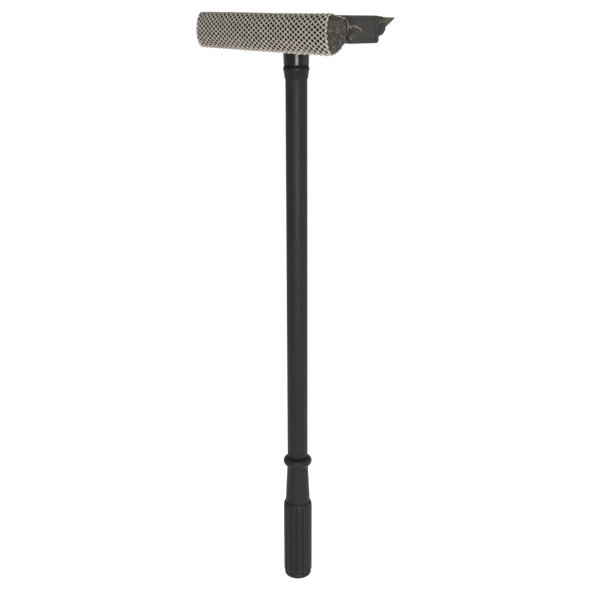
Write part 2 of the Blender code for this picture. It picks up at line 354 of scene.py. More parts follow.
@dataclass(frozen=True)
class Rubber(Finish):
    """Matt rubber with a soft bloom on it."""

    def material(self) -> bpy.types.Material:
        """Black rubber, with a patchy grey bloom and fine pits."""
        made, graph, shader, place = self.start()
        cloud = graph.ramp(graph.noise(place, 60.0, 4.0, 0.6), 0.35, 0.7)
        base = graph.mix(cloud, self.colour, self.tint(1.9, 0.01))
        normal = graph.bump(graph.noise(place, 1900.0, 3.0, 0.6), 0.3, 0.08 * MM)
        graph.dress(shader, Base_Color=base, Roughness=self.gloss(graph, cloud, 0.08), Normal=normal)
        graph.dress(shader, Sheen_Weight=0.15, Specular_IOR_Level=0.35)
        return made


@dataclass(frozen=True)
class Foam(Finish):
    """Open-cell foam, with blotches, pits and a few pale specks, its colour darkened under the net as painted
    shade and left pale on the cut faces.

    Args:
        cell: the cells' width, in metres.
        cut: how far from the middle along X the painted shade under the net ends and the pale cut faces
            start, in metres.
    """

    cell: float = 1.1 * MM
    cut: float = 0.1 * MM

    def material(self) -> bpy.types.Material:
        """Dark cells, lighter cell walls, slow blotches where the cut face is bruised, and painted shade
        under the net.
        """
        made, graph, shader, place = self.start()
        warp = graph.add("ShaderNodeTexNoise", Vector=place, Scale=700.0, Detail=2.0)
        shifted = graph.add("ShaderNodeVectorMath", {"operation": "MULTIPLY_ADD"})
        graph.feed(shifted.inputs[0], warp.outputs["Color"])
        shifted.inputs[1].default_value = (0.9 * MM,) * 3
        graph.feed(shifted.inputs[2], place)
        edge = graph.voronoi(shifted.outputs[0], 1.0 / self.cell, "DISTANCE_TO_EDGE")
        wall = graph.ramp(edge, 0.02, 0.3, 1.0, 0.0)
        small = graph.ramp(graph.voronoi(place, 2.2 / self.cell), 0.1, 0.6)
        blotch = graph.ramp(graph.noise(place, 330.0, 4.0, 0.7), 0.38, 0.64)
        bruise = graph.ramp(graph.noise(shifted.outputs[0], 150.0, 3.0, 0.6), 0.42, 0.62)
        pit = self.tint(0.3)
        colour = graph.mix(wall, pit, self.colour)
        colour = graph.mix(graph.math("MULTIPLY", wall, blotch), colour, self.tint(3.6))
        colour = graph.mix(graph.math("MULTIPLY", bruise, 0.55), colour, pit)
        colour = graph.mix(graph.math("MULTIPLY", small, 0.3), colour, self.colour)
        specks = graph.ramp(graph.voronoi(place, 300.0), 0.16, 0.07)
        some = graph.ramp(graph.noise(place, 260.0, 1.0), 0.56, 0.66)
        colour = graph.mix(graph.math("MULTIPLY", specks, some), colour, SPECK)
        # Painted shade: the foam's colour is darkened to about a fifth wherever the net covers it, for the
        # shade in the net's holes.
        along = graph.math("ABSOLUTE", graph.add("ShaderNodeSeparateXYZ", Vector=place).outputs[0])
        under = graph.ramp(along, self.cut - 1.2 * MM, self.cut + 0.6 * MM, 0.9, 0.0)
        height = graph.math("ADD", wall, graph.math("MULTIPLY", small, 0.5))
        normal = graph.bump(height, 0.8, 0.5 * MM)
        graph.dress(shader, Base_Color=graph.mix(under, colour, self.tint(0.12)), Normal=normal)
        graph.dress(shader, Sheen_Weight=0.03, Specular_IOR_Level=0.08)
        return made


@dataclass(frozen=True)
class Yarn(Finish):
    """Twisted, slightly soiled net yarn."""

    def material(self) -> bpy.types.Material:
        """Pale filaments, with soil that gathers in patches."""
        made, graph, shader, place = self.start()
        soil = graph.ramp(graph.noise(place, 95.0, 5.0, 0.65), 0.3, 0.72)
        fine = graph.noise(place, 1500.0, 3.0, 0.6)
        base = graph.mix(soil, self.tint(0.7), self.tint(1.18))
        base = graph.mix(graph.ramp(fine, 0.4, 0.75, 0.0, 0.5), base, self.tint(0.6))
        graph.dress(shader, Base_Color=base, Normal=graph.bump(fine, 0.4, 0.15 * MM))
        graph.dress(shader, Sheen_Weight=0.25, Specular_IOR_Level=0.35)
        return made


@dataclass(frozen=True)
class Paint(Finish):
    """A plain, slightly uneven studio surface."""

    def material(self) -> bpy.types.Material:
        """An even matt colour with a faint drift."""
        made, graph, shader, place = self.start()
        drift = graph.noise(place, 2.0, 2.0)
        graph.dress(shader, Base_Color=graph.mix(drift, self.colour, self.tint(0.985)))
        return made


# --- Mesh helpers ---


def unit(value: float) -> float:
    """The value, kept between 0 and 1."""
    return min(1.0, max(0.0, value))


@dataclass(frozen=True)
class Piece:
    """How a visible piece is put into the scene.

    Args:
        name: the object's name.
        finish: its material.
        body: the body that it rides on.
        slot: the record's slot that its finish stands for; not used.
        nodes: the CAD nodes that it replaces.
        smooth_angle: edges sharper than this stay sharp, in degrees.
    """

    name: str
    finish: bpy.types.Material
    body: Body
    slot: Slot
    nodes: tuple[str, ...] = ()
    smooth_angle: float = 35.0

    def place(self, bm: bmesh.types.BMesh) -> bpy.types.Object:
        """Turns a bmesh into the piece, hangs it on its body and hides the CAD nodes that it replaces.

        Args:
            bm: the mesh, in metres, whose doubles are merged, and which is then freed.

        Returns:
            The new object.
        """
        bmesh.ops.remove_doubles(bm, verts=bm.verts, dist=WELD)
        bmesh.ops.recalc_face_normals(bm, faces=bm.faces)
        mesh = bpy.data.meshes.new(self.name)
        bm.to_mesh(mesh)
        bm.free()
        mesh.materials.append(self.finish)
        mesh.shade_smooth()
        mesh.set_sharp_from_angle(angle=math.radians(self.smooth_angle))
        obj = bpy.data.objects.new(self.name, mesh)
        bpy.context.scene.collection.objects.link(obj)
        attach(obj, self.body.value)
        if self.nodes:
            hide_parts(*self.nodes)
        LOG.info("%s: %d faces on %s", self.name, len(mesh.polygons), self.body.value)
        return obj


def turned(profile: Sequence[Point2], steps: int = 128) -> bmesh.types.BMesh:
    """A closed (radius, z) profile spun round Z.

    Args:
        profile: the points, in metres, in order round the section.
        steps: how many sides the piece gets.

    Returns:
        The bmesh.
    """
    bm = bmesh.new()
    points = [bm.verts.new((radius, 0.0, z)) for radius, z in profile]
    edges = [bm.edges.new(pair) for pair in zip(points, points[1:] + points[:1])]
    bmesh.ops.spin(
        bm, geom=points + edges, cent=(0, 0, 0), axis=(0, 0, 1), angle=math.tau, steps=steps, use_merge=True
    )
    bmesh.ops.remove_doubles(bm, verts=bm.verts, dist=WELD)
    bmesh.ops.dissolve_degenerate(bm, dist=WELD, edges=bm.edges)
    return bm


def arc(centre: Point2, radius: float, start: float, end: float, count: int = 8) -> list[Point2]:
    """Points on a circle.

    Args:
        centre: the circle's centre.
        radius: its radius.
        start: the first point's angle, in degrees.
        end: the last point's angle, in degrees.
        count: how many steps lie between them.

    Returns:
        The points, with both ends.
    """
    turns = [math.radians(start + (end - start) * i / count) for i in range(count + 1)]
    return [(centre[0] + radius * math.cos(t), centre[1] + radius * math.sin(t)) for t in turns]


def shaped_tube(segments: int, rings: int, shape: Callable[[float, int], Vector]) -> bmesh.types.BMesh:
    """A closed tube, extruded ring by ring from a circle, whose points are then laid where a function says.

    Args:
        segments: how many sides it has.
        rings: how many rings of points it has.
        shape: gives a point for a turn from 0 to 1 round the tube and a ring's number.

    Returns:
        The bmesh, with both ends closed.
    """
    bm = bmesh.new()
    ring = bmesh.ops.create_circle(bm, segments=segments, radius=1.0)["verts"]
    edges = list({e for v in ring for e in v.link_edges})
    for _ in range(rings - 1):
        pushed = bmesh.ops.extrude_edge_only(bm, edges=edges)["geom"]
        bmesh.ops.translate(bm, verts=[g for g in pushed if isinstance(g, bmesh.types.BMVert)], vec=(0, 0, 1))
        edges = [g for g in pushed if isinstance(g, bmesh.types.BMEdge)]
    bmesh.ops.holes_fill(bm, edges=bm.edges, sides=0)
    for vert in bm.verts:
        turn = (math.atan2(vert.co.y, vert.co.x) / math.tau) % 1.0
        vert.co = shape(turn, round(vert.co.z))
    return bm


def refined(node: str, bevel: float) -> bmesh.types.BMesh:
    """A merged copy of a CAD node, with its flat faces joined and its sharp edges rounded over.

    Args:
        node: the CAD node.
        bevel: how wide the rounding is, in metres.

    Returns:
        The bmesh.
    """
    bm = bmesh.new()
    bm.from_mesh(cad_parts[node].data)
    bmesh.ops.remove_doubles(bm, verts=bm.verts, dist=2 * WELD)
    bmesh.ops.recalc_face_normals(bm, faces=bm.faces)
    bmesh.ops.dissolve_limit(bm, angle_limit=FLAT_ANGLE, verts=bm.verts, edges=bm.edges)
    sharp = [e for e in bm.edges if e.is_manifold and e.calc_face_angle(0.0) > SHARP_ANGLE]
    rounding = {"affect": "EDGES", "segments": 2, "profile": 0.5, "material": -1, "clamp_overlap": True}
    bmesh.ops.bevel(bm, geom=sharp, offset=bevel, offset_type="OFFSET", **rounding)
    return bm


# --- The pad: foam, net, hems and loose threads ---


@dataclass
class PadSection:
    """The pad's section in the YZ plane, as a smooth line from the channel over the belly and back.

    Args:
        back: Y of the pad's back, just in front of the head.
        ridge: Y of the highest and the lowest line.
        belly: how far the front swells past the ridge.
        centre: Z of the middle.
        half: half of the height.
        top_back: Z where the top meets the back.
        bottom_back: Z where the lower bevel meets the back.
        power: how square the belly is.
        corner: radius of the upper back corner.
        bulge: how far the lower bevel swells out.
    """

    back: float
    ridge: float
    belly: float
    centre: float
    half: float
    top_back: float
    bottom_back: float
    power: float = 2.1
    corner: float = 7.5 * MM
    bulge: float = 1.8 * MM

    def outline(self, inset: float = 0.0) -> list[Point2]:
        """The section's points, from the middle of the back over the belly and the bottom to the back.

        Args:
            inset: how far inside the pad's outside the line lies.

        Returns:
            (y, z) points.
        """
        back = self.back - inset
        radius = max(self.corner - inset, 0.4 * MM)
        middle = (back, self.centre + 2.5 * MM)
        top = self.top_back - inset
        low = self.bottom_back + inset
        points = [middle]
        points += arc((back - radius, top - radius), radius, 0, 90)
        points += self.front(inset)
        small = min(radius, 3.0 * MM)
        (y0, z0), (y1, z1) = points[-1], (back - 0.46 * small, low + 0.1 * small)
        size = math.hypot(y1 - y0, z1 - z0)
        for step in range(1, 8):
            share = step / 8
            out = self.bulge * math.sin(math.pi * share)
            y = y0 + (y1 - y0) * share + (z1 - z0) / size * out
            z = z0 + (z1 - z0) * share - (y1 - y0) / size * out
            points.append((y, z))
        points += arc((back - small, low + 0.54 * small), small, -57, 0, 5)
        return points

    def front(self, inset: float) -> list[Point2]:
        """The belly's points, from its top ridge round to its bottom ridge."""
        half, reach, power = self.half - inset, self.belly - inset, 2 / self.power
        points = []
        for step in range(33):
            turn = math.pi / 2 - math.pi * step / 32
            c, s = math.cos(turn), math.sin(turn)
            z = self.centre + half * math.copysign(abs(s) ** power, s)
            points.append((self.ridge - reach * abs(c) ** power, z))
        return points

    def nearness(self, y: float) -> float:
        """How near a place is to the head: 0 at the ridge and in front of it, 1 at the back."""
        return unit((y - self.ridge) / (self.back - self.ridge))


@dataclass
class Track:
    """A line of (y, z) points that can be read at any distance along it.

    Args:
        points: the line's points.
    """

    points: list[Point2]
    lengths: list[float] = field(init=False)

    def __post_init__(self) -> None:
        """Measures the line."""
        self.lengths = [0.0]
        for a, b in zip(self.points, self.points[1:]):
            self.lengths.append(self.lengths[-1] + math.dist(a, b))

    @property
    def total(self) -> float:
        """The line's whole length."""
        return self.lengths[-1]

    def at(self, distance: float) -> Point2:
        """The point at a distance from the start."""
        distance = min(max(distance, 0.0), self.total)
        low, high = 0, len(self.lengths) - 1
        while high - low > 1:
            middle = (low + high) // 2
            if self.lengths[middle] <= distance:
                low = middle
            else:
                high = middle
        span = self.lengths[high] - self.lengths[low]
        share = (distance - self.lengths[low]) / span if span else 0.0
        a, b = self.points[low], self.points[high]
        return (a[0] + (b[0] - a[0]) * share, a[1] + (b[1] - a[1]) * share)

    def frame(self, distance: float, reach: float = 0.6 * MM) -> tuple[Point2, Point2]:
        """The point and the outward normal at a distance, smoothed over a reach.

        Args:
            distance: how far along the line.
            reach: the half width that the direction is taken over.

        Returns:
            The point and the unit normal, to the right of the direction of travel.
        """
        a, b = self.at(distance - reach), self.at(distance + reach)
        dy, dz = b[0] - a[0], b[1] - a[1]
        size = math.hypot(dy, dz) or 1.0
        return self.at(distance), (dz / size, -dy / size)


@dataclass
class Net:
    """The net's lattice, laid out flat: u runs along X, s runs round the pad, and h stands out of it.

    Args:
        pitch_u: distance between holes in a row along the pad.
        pitch_s: distance between holes round the pad.
        radius: a strand's middle radius.
        ply: how far the two twisted plies stand out of that radius.
        weave: how far a strand rises and dips as it crosses the others.
        knot: how much thicker a strand is where it is knotted to another, as a share.
        lead: how much thicker one family of strands is than the middle, and the other thinner, as a share.
        bond: how far two strands run side by side at a knot, from 0 to 1.
        rings: how many rings of points a strand has between two crossings.
        sides: how many sides a strand has.
        flatness: a strand's thickness over its width.
        lift: how far one family lies over the middle and the other under it.
        gather: how far an end strand is drawn in between the crossings.
    """

    pitch_u: float = 7.6 * MM
    pitch_s: float = 4.1 * MM
    radius: float = 0.5 * MM
    ply: float = 0.1 * MM
    weave: float = 0.12 * MM
    knot: float = 0.28
    lead: float = 0.13
    bond: float = 0.55
    rings: int = 6
    sides: int = 6
    flatness: float = 0.76
    lift: float = 0.08 * MM
    gather: float = 0.4 * MM

    def strand(self, start: Vector, step: Vector, count: int, scale: float = 1.0) -> bmesh.types.BMesh:
        """One straight twisted strand.

        Args:
            start: where its centre starts.
            step: from one ring to the next.
            count: how many rings it has.
            scale: its thickness over the middle one.

        Returns:
            The bmesh.
        """
        across = Vector((0, 0, 1)).cross(step.normalized())

        def place(turn: float, ring: int) -> Vector:
            """A point on the section of two plies, which turns a little further at each ring."""
            angle = turn * math.tau
            size = self.radius + self.ply * math.cos(2 * angle - ring * math.tau * 0.75 / self.rings)
            size *= scale * (1 + self.knot * math.cos(math.pi * ring / self.rings) ** 4)
            rise = Vector((0, 0, size * math.sin(angle) * self.flatness))
            return start + step * ring + across * (size * math.cos(angle)) + rise

        return shaped_tube(self.sides, count, place)

    def family(self, length: float, girth: float, sign: float) -> bmesh.types.BMesh:
        """All strands that run one way across the net, cut to its edges.

        Args:
            length: the net's length along the pad.
            girth: its width round the pad.
            sign: 1 for strands that rise along X, and -1 for strands that fall.

        Returns:
            The flat bmesh.
        """
        step = Vector((sign * self.pitch_u, self.pitch_s, 0.0)) / 2 / self.rings
        crossings = math.ceil(girth / (self.pitch_s / 2)) + 2
        lean = crossings * self.pitch_u / 2
        end = length / 2 + (self.pitch_u if sign > 0 else math.ceil(lean / self.pitch_u) * self.pitch_u)
        bm = self.strand(Vector((end, 0.0, 0.0)), step, crossings * self.rings + 1, 1 + sign * self.lead)
        template = bm.verts[:] + bm.edges[:] + bm.faces[:]
        for index in range(1, math.ceil((length + lean) / self.pitch_u) + 3):
            copy = bmesh.ops.duplicate(bm, geom=template)["geom"]
            moved = [g for g in copy if isinstance(g, bmesh.types.BMVert)]
            bmesh.ops.translate(bm, verts=moved, vec=(-index * self.pitch_u, 0, 0))
        for point, normal in (
            ((length / 2, 0, 0), (1, 0, 0)),
            ((-length / 2, 0, 0), (-1, 0, 0)),
            ((0, girth, 0), (0, 1, 0)),
            ((0, 0.01 * MM, 0), (0, -1, 0)),
        ):
            geometry = bm.verts[:] + bm.edges[:] + bm.faces[:]
            bmesh.ops.bisect_plane(bm, geom=geometry, plane_co=point, plane_no=normal, clear_outer=True)
        bmesh.ops.holes_fill(bm, edges=bm.edges, sides=0)
        for vert in bm.verts:
            u = (vert.co.x - length / 2) / self.pitch_u
            s = vert.co.y / self.pitch_s
            crossing = math.cos(math.pi * (u + s)) * math.cos(math.pi * (u - s))
            vert.co.z += sign * self.weave * crossing + self.lift * crossing**2 + sign * self.lift
            vert.co.y -= sign * self.pitch_s / 2 * self.bond / math.tau * math.sin(math.tau * 2 * u)
        return bm

    def edge(self, end: float, girth: float, inwards: float) -> bmesh.types.BMesh:
        """The strand along one end of the net, drawn in between the crossings.

        Args:
            end: where it lies along the pad.
            girth: the net's width round the pad.
            inwards: the direction of the net's middle, 1 or -1.

        Returns:
            The flat bmesh.
        """
        step = Vector((0.0, self.pitch_s / 2 / self.rings, 0.0))
        bm = self.strand(Vector((end, 0.0, 0.0)), step, int(girth / step.y))
        for vert in bm.verts:
            wave = 1 - math.cos(math.tau * vert.co.y / self.pitch_s)
            vert.co.x = end + (vert.co.x - end) * 0.5 + inwards * self.gather * wave
            vert.co.z *= 0.6
        return bm


@dataclass
class Pad:
    """The scrubbing pad: foam, the net round it, the hems in the head's channel, and a few loose threads.

    Args:
        section: its section.
        length: the foam's length at its rim.
        swell: how far the foam's ends swell past the rim.
        rim: radius of the rounding at the ends.
        net: the net's lattice.
        net_depth: how far the strands' centre lies inside the pad's outside.
        foam_depth: how far the foam lies inside it.
        hem: how much of each side of the net lies in the channel.
        margin: how far the net's ends lie inside the foam's.
    """

    section: PadSection
    length: float
    swell: float = 2.4 * MM
    rim: float = 3.0 * MM
    net: Net = field(default_factory=Net)
    net_depth: float = 0.5 * MM
    foam_depth: float = 1.1 * MM
    hem: float = 3.4 * MM
    margin: float = 0.5 * MM

    @classmethod
    def from_frame(cls) -> "Pad":
        """Sizes the pad from the CAD nodes that it replaces."""
        low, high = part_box("mesh_sleeve")
        head_low, head_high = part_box("head_frame")
        section = PadSection(
            back=head_low.y - 0.3 * MM,
            ridge=low.y + 6.2 * MM,
            belly=6.2 * MM,
            centre=(low.z + high.z) / 2,
            half=(high.z - low.z) / 2,
            top_back=head_high.z - 0.1 * MM,
            bottom_back=head_high.z - 20.3 * MM,
        )
        return cls(section, high.x * 2 + 0.6 * MM)

    def end_inset(self, x: float, y: float, least: float) -> float:
        """How far the pad draws in at the rounding of its ends, which is larger towards the head.

        Args:
            x: the place along the pad.
            y: the place across it.
            least: the share of a full rounding that the belly gets.

        Returns:
            The distance, in metres.
        """
        share = self.section.nearness(y)
        rim = self.rim * (1 + 0.8 * share)
        past = min(max(abs(x) - (self.length / 2 - rim), 0.0), rim)
        return (rim - math.sqrt(rim**2 - past**2)) * (least + (1 - least) * share)

    def swelling(self, x: float, y: float, z: float) -> float:
        """The slow unevenness of soft foam, in metres."""
        return 0.4 * MM * noise.noise(Vector((x * 28.0, y * 45.0, z * 45.0)))

    def net_track(self) -> Track:
        """The line that the net follows, from one hem in the head's channel round to the other."""
        upper_low, upper_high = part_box("hem_spline_upper")
        _, under_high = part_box("hem_spline_lower")
        inner = (upper_low.y + upper_high.y) / 2
        mouth = self.section.back + 0.4 * MM
        upper, lower = upper_low.z - 0.45 * MM, under_high.z + 0.45 * MM
        outline = self.section.outline(self.net_depth)[1:]
        start = [(inner, upper), (mouth, upper), (outline[0][0], upper + 0.9 * MM)]
        end = [(outline[-1][0], lower - 0.9 * MM), (mouth, lower), (inner, lower)]
        return Track(start + outline + end)

    def wrap(self, bm: bmesh.types.BMesh, track: Track) -> bmesh.types.BMesh:
        """Lays flat net work round the pad, with u in x, s in y and h in z, and gives it back."""
        for vert in bm.verts:
            u, s, h = vert.co
            drift = noise.noise(Vector((u * 55.0, s * 55.0, 3.0)))
            slip = noise.noise(Vector((u * 55.0, s * 55.0, 9.0)))
            (y, z), _ = track.frame(s)
            upwards = (z - self.section.centre) / self.section.half
            drawn = 5.0 * MM * self.section.nearness(y) ** 0.6 + 0.5 * MM * upwards * abs(upwards)
            if upwards < 0:
                drawn -= 0.4 * MM
            x = (u + 0.35 * MM * drift) * (1 - drawn / self.length * 2)
            side = min(s, track.total - s)
            free = unit((side - self.hem) / (2.0 * MM))
            (y, z), (ny, nz) = track.frame(s + 0.35 * MM * slip * free)
            out = h * (0.45 + 0.55 * free) + free * (self.swelling(x, y, z) - self.end_inset(x, y, 0.2))
            vert.co = (x, y + ny * out, z + nz * out)
        return bm

    def build_net(self, finish: bpy.types.Material) -> None:
        """Both families of strands and the two end strands, as one net.

        Args:
            finish: the yarn.
        """
        track = self.net_track()
        whole = bmesh.new()
        length = self.length - 2 * self.margin
        flats = [self.net.family(length, track.total, sign) for sign in (1.0, -1.0)]
        flats += [self.net.edge(side * length / 2, track.total, -side) for side in (1.0, -1.0)]
        for flat in flats:
            mesh = bpy.data.meshes.new("net_part")
            self.wrap(flat, track).to_mesh(mesh)
            flat.free()
            whole.from_mesh(mesh)
            bpy.data.meshes.remove(mesh)
        net = Piece("net_sleeve", finish, Body.PAD, Slot.NET, ("mesh_sleeve",), 80.0).place(whole)

    def stations(self) -> list[Point2]:
        """The foam's rings along X: where each lies, and its share of the whole section."""
        half, rim, rings = self.length / 2, self.rim, 28
        turns = [math.pi / 2 * i / 8 for i in range(9)]
        right = [(half - rim + rim * math.sin(t), 1.0) for t in turns]
        for index in range(1, rings + 1):
            scale = 1 - index / rings * 0.98
            right.append((half + self.swell * (1 - scale**2.2), scale))
        spread = 2 * (half - rim)
        middle = [(-half + rim + spread * i / 80, 1.0) for i in range(1, 80)]
        return [(-x, scale) for x, scale in reversed(right)] + middle + right

    def build_foam(self, finish: bpy.types.Material) -> bpy.types.Object:
        """The foam block, with rounded rims, swollen ends and torn cells on the cut faces."""
        points = self.section.outline(self.foam_depth)
        track = Track([*points, points[0]])
        stations = self.stations()
        middle = ((self.section.back + self.section.ridge) / 2 - 3 * MM, self.section.centre + 0.5 * MM)

        def place(turn: float, ring: int) -> Vector:
            """A point on the section at a ring, drawn in at the rims and towards the middle on the ends."""
            x, scale = stations[ring]
            (y, z), (ny, nz) = track.frame(turn * track.total)
            out = self.swelling(x, y, z) - self.end_inset(x, y, 0.45)
            y, z = y + ny * out, z + nz * out
            return Vector((x, middle[0] + (y - middle[0]) * scale, middle[1] + (z - middle[1]) * scale))

        bm = shaped_tube(200, len(stations), place)
        bmesh.ops.recalc_face_normals(bm, faces=bm.faces)
        bm.normal_update()
        half = self.length / 2
        for vert in bm.verts:
            cut = unit((abs(vert.co.x) - half + 1.5 * MM) / (1.5 * MM))
            coarse = noise.noise(vert.co * 240.0)
            fine = noise.noise(vert.co * 700.0)
            vert.co += vert.normal * (0.12 + 0.88 * cut) * (0.38 * coarse + 0.3 * fine) * MM
        foam = Piece("foam_block", finish, Body.PAD, Slot.FOAM, ("scrubber_foam",), 80.0).place(bm)
        return foam

    def from_mouth(self, offset: Sequence[float]) -> list[float]:
        """A place, in metres, from its offset in millimetres from the channel's upper front corner."""
        low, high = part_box("head_frame")
        corner = (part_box("backing_strip")[1].x, low.y, high.z)
        return [start + part * MM for start, part in zip(corner, offset)]

    def build_hem_wads(self, finish: bpy.types.Material) -> None:
        """The crumpled net hem and foam that fill the open end of the head's channel."""
        for name, offset, radii in (
            ("hem_wad_lower", (-0.2, 3.4, -15.6), (1.9, 3.6, 4.1)),
            ("hem_wad_upper", (-0.7, 2.2, -6.2), (1.5, 2.4, 4.6)),
        ):
            place = self.from_mouth(offset)
            size = [radius * MM for radius in radii]
            bm = bmesh.new()
            bmesh.ops.create_icosphere(bm, subdivisions=5, radius=1.0)
            for vert in bm.verts:
                bump = 1 + 0.28 * noise.noise(vert.co * 1.9 + Vector((place[2] * 900, 0, 0)))
                bump += 0.1 * noise.noise(vert.co * 6.0)
                vert.co = Vector(c * s * bump for c, s in zip(vert.co, size))
            bmesh.ops.translate(bm, verts=bm.verts, vec=place)
            Piece(name, finish, Body.PAD, Slot.FOAM, (), 80.0).place(bm)

    def build_threads(self, finish: bpy.types.Material) -> None:
        """Loose ends of net yarn that stick out where the hem enters the channel."""
        paths = (
            ((-1.0, -1.6, -10.8), (0.6, -1.2, -10.0), (1.3, 1.0, -7.4), (1.0, 2.2, -9.2), (1.2, 4.4, -7.0)),
            ((1.2, 4.4, -7.0), (1.4, 5.4, -7.4), (0.9, 6.3, -8.7), (0.5, 7.2, -8.2)),
            ((0.5, 7.0, -7.4), (0.7, 9.4, -9.0), (0.8, 11.3, -10.2), (0.4, 13.0, -11.6)),
            ((2.2, -7.2, -0.9), (2.9, -5.0, -1.5), (2.9, -3.0, -3.4), (2.2, -1.6, -6.2), (0.4, -0.8, -9.0)),
            ((0.9, 0.8, -17.2), (1.9, 1.5, -16.4), (2.0, 2.2, -16.9), (1.2, 1.6, -17.5)),
        )
        for number, path in enumerate(paths, 1):
            bm = self.thread([Vector(self.from_mouth(offset)) for offset in path], 0.16 * MM)
            Piece(f"loose_thread_{number}", finish, Body.PAD, Slot.NET, (), 80.0).place(bm)

    def thread(self, points: Sequence[Vector], radius: float, steps: int = 7) -> bmesh.types.BMesh:
        """A thin round thread along a smooth line through the points, thinned to nothing at its free end.

        Args:
            points: the points, in metres.
            radius: the thread's radius.
            steps: how many rings lie between two points.

        Returns:
            The bmesh.
        """
        line = []
        ends = [points[0] * 2 - points[1], *points, points[-1] * 2 - points[-2]]
        for a, b, c, d in zip(ends, ends[1:], ends[2:], ends[3:]):
            for index in range(steps):
                t = index / steps
                part = b * 2 + (c - a) * t
                part += (a * 2 - b * 5 + c * 4 - d) * t**2
                part += (b * 3 - a - c * 3 + d) * t**3
                line.append(part / 2)
        line.append(points[-1])

        def place(turn: float, ring: int) -> Vector:
            """A point on the thread's skin."""
            ahead = (line[min(ring + 1, len(line) - 1)] - line[max(ring - 1, 0)]).normalized()
            side = ahead.orthogonal().normalized()
            angle = turn * math.tau
            size = radius * (1 if ring < len(line) - 1 else 0.4)
            return line[ring] + (side * math.cos(angle) + ahead.cross(side) * math.sin(angle)) * size

        return shaped_tube(7, len(line), place)

    def build(self, foam: Foam, yarn: Yarn, cord: Plastic, strip: Plastic) -> None:
        """Builds and dresses the whole pad."""
        foam_material, yarn_material = foam.material(), yarn.material()
        block = self.build_foam(foam_material)
        self.build_net(yarn_material)
        self.build_hem_wads(foam_material)
        self.build_threads(yarn_material)
        cord_material = cord.material()
        for side in ("upper", "lower"):
            node = f"hem_spline_{side}"
            piece = Piece(f"hem_cord_{side}", cord_material, Body.PAD, Slot.CORD, (node,), 40.0)
            piece.place(refined(node, 0.1 * MM))
        piece = Piece("backing_rail", strip.material(), Body.PAD, Slot.HEAD, ("backing_strip",))
        piece.place(refined("backing_strip", 0.2 * MM))


# --- The head, the blade and the handle ---


@dataclass
class Head:
    """The moulded head, its end plates and the blade's carrier.

    Args:
        edge: how wide the rounding along the moulding's edges is.
        socket_radius: the widest that the handle's socket is, under the head.
        seating: how much of its recess an end plate fills.
    """

    edge: float = 0.4 * MM
    socket_radius: float = 12.2 * MM
    seating: float = 0.6

    def polish_and_shade_socket(self, bm: bmesh.types.BMesh) -> None:
        """Gives the faces of the handle's socket, under the head, the second finish, which is smoother and
        darkened as painted shade from the head above.
        """
        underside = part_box("end_plate_right")[0].z - 3.2 * MM
        for face in bm.faces:
            middle = face.calc_center_median()
            if middle.z < underside and math.hypot(middle.x, middle.y) < self.socket_radius:
                face.material_index = 1

    def seat_plate(self, bm: bmesh.types.BMesh, node: str) -> None:
        """Fills most of the thin gap round an end plate, and brings it nearer to the moulding's end."""
        low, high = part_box(node)
        middle = (low + high) / 2
        outer = max(abs(low.x), abs(high.x))
        reach = (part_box("head_frame")[1].x - outer) * self.seating
        for vert in bm.verts:
            vert.co.y = middle.y + (vert.co.y - middle.y) * (1 + 0.2 * MM / (high.y - middle.y))
            vert.co.z = middle.z + (vert.co.z - middle.z) * (1 + 0.2 * MM / (high.z - middle.z))
            if abs(vert.co.x) > abs(middle.x):
                vert.co.x += math.copysign(reach, vert.co.x)

    def build(self, plastic: Plastic, socket: Plastic) -> None:
        """Rounds the edges of the four mouldings and dresses them.

        Args:
            plastic: the satin plastic.
            socket: the same plastic, polished by its mould, with its colour darkened as painted shade under
                the head.
        """
        finish = plastic.material()
        for name, node, edge in (
            ("head_moulding", "head_frame", self.edge),
            ("end_plug_left", "end_plate_left", self.edge * 0.6),
            ("end_plug_right", "end_plate_right", self.edge * 0.6),
            ("carrier_rail", "blade_carrier", self.edge * 0.5),
        ):
            bm = refined(node, edge)
            if node == "head_frame":
                self.polish_and_shade_socket(bm)
            elif node.startswith("end_plate"):
                self.seat_plate(bm, node)
            piece = Piece(name, finish, Body.HANDLE, Slot.HEAD, (node,), 25.0).place(bm)
            if node == "head_frame":
                piece.data.materials.append(socket.material())


@dataclass
class WipingBlade:
    """The rubber blade.

    Args:
        edge: how wide the rounding along its edges is; the lip itself is cut square.
    """

    edge: float = 0.12 * MM

    def build(self, rubber: Rubber) -> None:
        """Rounds the blade's edges a little and dresses it."""
        piece = Piece("rubber_blade", rubber.material(), Body.BLADE, Slot.RUBBER, ("squeegee_blade",))
        piece.place(refined("squeegee_blade", self.edge))


